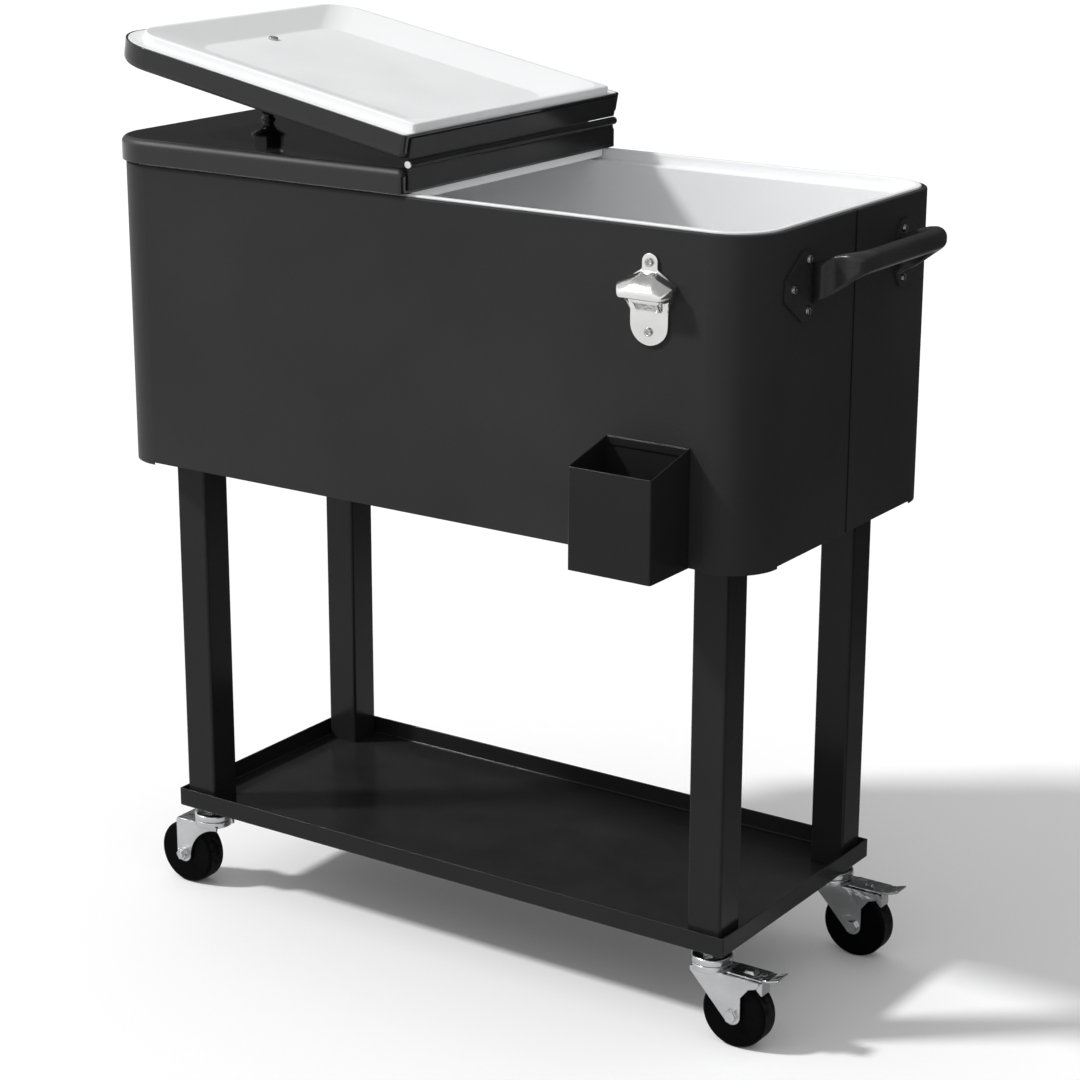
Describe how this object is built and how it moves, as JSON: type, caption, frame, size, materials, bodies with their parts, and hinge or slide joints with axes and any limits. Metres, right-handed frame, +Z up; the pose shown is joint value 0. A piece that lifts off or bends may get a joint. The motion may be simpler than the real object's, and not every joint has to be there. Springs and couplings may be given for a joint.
{
  "type": "wheeled patio cooler",
  "caption": "Insulated patio cooler on a wheeled leg stand, with folding lids hinged across the middle, a pull handle, a bottle opener, a cap catcher and a lower shelf tray.",
  "frame": {"origin": "middle of the whole object's box in plan, on the floor under the wheels", "axes": "Z is up, X runs along the cooler towards the pull handle, and the front with the opener faces -Y"},
  "size_m": [0.879, 0.4646, 0.998],
  "materials": {
    "skin": "semi-gloss black paint",
    "lid_paint": "gloss black paint",
    "frame_paint": "gloss black powder coat",
    "bare_sheet": "grey primer on sheet steel",
    "white_plastic": "satin white moulded plastic",
    "foam": "cream rigid insulating foam",
    "knob_plastic": "gloss black plastic",
    "stainless": "polished stainless steel",
    "screws": "bright plated steel",
    "zinc": "bright zinc-plated steel",
    "wheel": "black rubber",
    "drain_plastic": "white plastic",
    "seal": "black rubber"
  },
  "bodies": {
    "body": {"front_shell": "skin", "rear_shell": "skin", "base_pan": "bare_sheet", "foam_insulation": "foam", "tub_liner": "white_plastic", "tub_floor": "white_plastic", "tub_rim": "white_plastic", "leg_front_left": "frame_paint", "leg_front_right": "frame_paint", "leg_rear_left": "frame_paint", "leg_rear_right": "frame_paint", "leg_bolts": "screws", "leg_nuts": "screws", "shelf_tray": "frame_paint", "caster_stem_front_left": "zinc", "caster_stem_front_right": "zinc", "caster_stem_rear_left": "zinc", "caster_stem_rear_right": "zinc", "bottle_opener": "stainless", "opener_screws": "screws", "catcher_screws": "screws", "handle_bar": "frame_paint", "handle_plate_front": "frame_paint", "handle_plate_rear": "frame_paint", "handle_screws": "screws", "drain_gasket": "seal", "drain_spout": "drain_plastic", "drain_nut": "drain_plastic"},
    "left_lid": {"left_lid_cover": "lid_paint", "left_lid_foam": "foam", "left_lid_pan": "white_plastic", "left_knob": "knob_plastic", "left_knob_screw": "screws", "left_hinge_leaf": "frame_paint", "hinge_pin": "stainless"},
    "right_lid": {"right_lid_cover": "lid_paint", "right_lid_foam": "foam", "right_lid_pan": "white_plastic", "right_knob": "knob_plastic", "right_knob_screw": "screws", "right_hinge_leaf": "frame_paint"},
    "cap_catcher": {"cap_catcher": "frame_paint"},
    "drain_cap": {"drain_cap": "drain_plastic"},
    "fork_front_left": {"caster_fork_front_left": "zinc", "caster_axle_front_left": "zinc"},
    "wheel_front_left": {"wheel_front_left": "wheel"},
    "fork_front_right": {"caster_fork_front_right": "zinc", "caster_axle_front_right": "zinc"},
    "wheel_front_right": {"wheel_front_right": "wheel"},
    "brake_front_right": {"brake_pedal_front_right": "zinc"},
    "fork_rear_left": {"caster_fork_rear_left": "zinc", "caster_axle_rear_left": "zinc"},
    "wheel_rear_left": {"wheel_rear_left": "wheel"},
    "fork_rear_right": {"caster_fork_rear_right": "zinc", "caster_axle_rear_right": "zinc"},
    "wheel_rear_right": {"wheel_rear_right": "wheel"},
    "brake_rear_right": {"brake_pedal_rear_right": "zinc"}
  },
  "joints": [
    {"name": "lid_lift", "type": "slide", "parent": "body", "child": "left_lid", "axis": [0, 0, 1], "range_m": [0, 0.06]},
    {"name": "lid_fold", "type": "hinge", "parent": "left_lid", "child": "right_lid", "pos_m": [-0.0295, 0.03325, 0.8888], "axis": [0, 1, 0], "range_deg": [0, 169.5]},
    {"name": "catcher_lift", "type": "slide", "parent": "body", "child": "cap_catcher", "axis": [0, 0, 1], "range_m": [0, 0.012]},
    {"name": "drain_cap_turn", "type": "hinge", "parent": "body", "child": "drain_cap", "pos_m": [-0.0295, 0.03325, 0.4965], "axis": [0, 0, 1], "range_deg": [-360, 0]},
    {"name": "swivel_front_left", "type": "hinge", "parent": "body", "child": "fork_front_left", "pos_m": [-0.3675, -0.09925, 0.0864], "axis": [0, 0, 1], "continuous": true},
    {"name": "roll_front_left", "type": "hinge", "parent": "fork_front_left", "child": "wheel_front_left", "pos_m": [-0.4011, -0.09925, 0.0375], "axis": [0, 1, 0], "continuous": true},
    {"name": "swivel_front_right", "type": "hinge", "parent": "body", "child": "fork_front_right", "pos_m": [0.3085, -0.09925, 0.0864], "axis": [0, 0, 1], "continuous": true},
    {"name": "roll_front_right", "type": "hinge", "parent": "fork_front_right", "child": "wheel_front_right", "pos_m": [0.3421, -0.09925, 0.0375], "axis": [0, 1, 0], "continuous": true},
    {"name": "brake_front_right", "type": "hinge", "parent": "fork_front_right", "child": "brake_front_right", "pos_m": [0.3585, -0.09925, 0.0786], "axis": [0, 1, 0], "range_deg": [0, 4.8]},
    {"name": "swivel_rear_left", "type": "hinge", "parent": "body", "child": "fork_rear_left", "pos_m": [-0.3675, 0.16575, 0.0864], "axis": [0, 0, 1], "continuous": true},
    {"name": "roll_rear_left", "type": "hinge", "parent": "fork_rear_left", "child": "wheel_rear_left", "pos_m": [-0.4011, 0.16575, 0.0375], "axis": [0, 1, 0], "continuous": true},
    {"name": "swivel_rear_right", "type": "hinge", "parent": "body", "child": "fork_rear_right", "pos_m": [0.3085, 0.16575, 0.0864], "axis": [0, 0, 1], "continuous": true},
    {"name": "roll_rear_right", "type": "hinge", "parent": "fork_rear_right", "child": "wheel_rear_right", "pos_m": [0.3421, 0.16575, 0.0375], "axis": [0, 1, 0], "continuous": true},
    {"name": "brake_rear_right", "type": "hinge", "parent": "fork_rear_right", "child": "brake_rear_right", "pos_m": [0.3585, 0.16575, 0.0786], "axis": [0, 1, 0], "range_deg": [0, 4.8]}
  ]
}
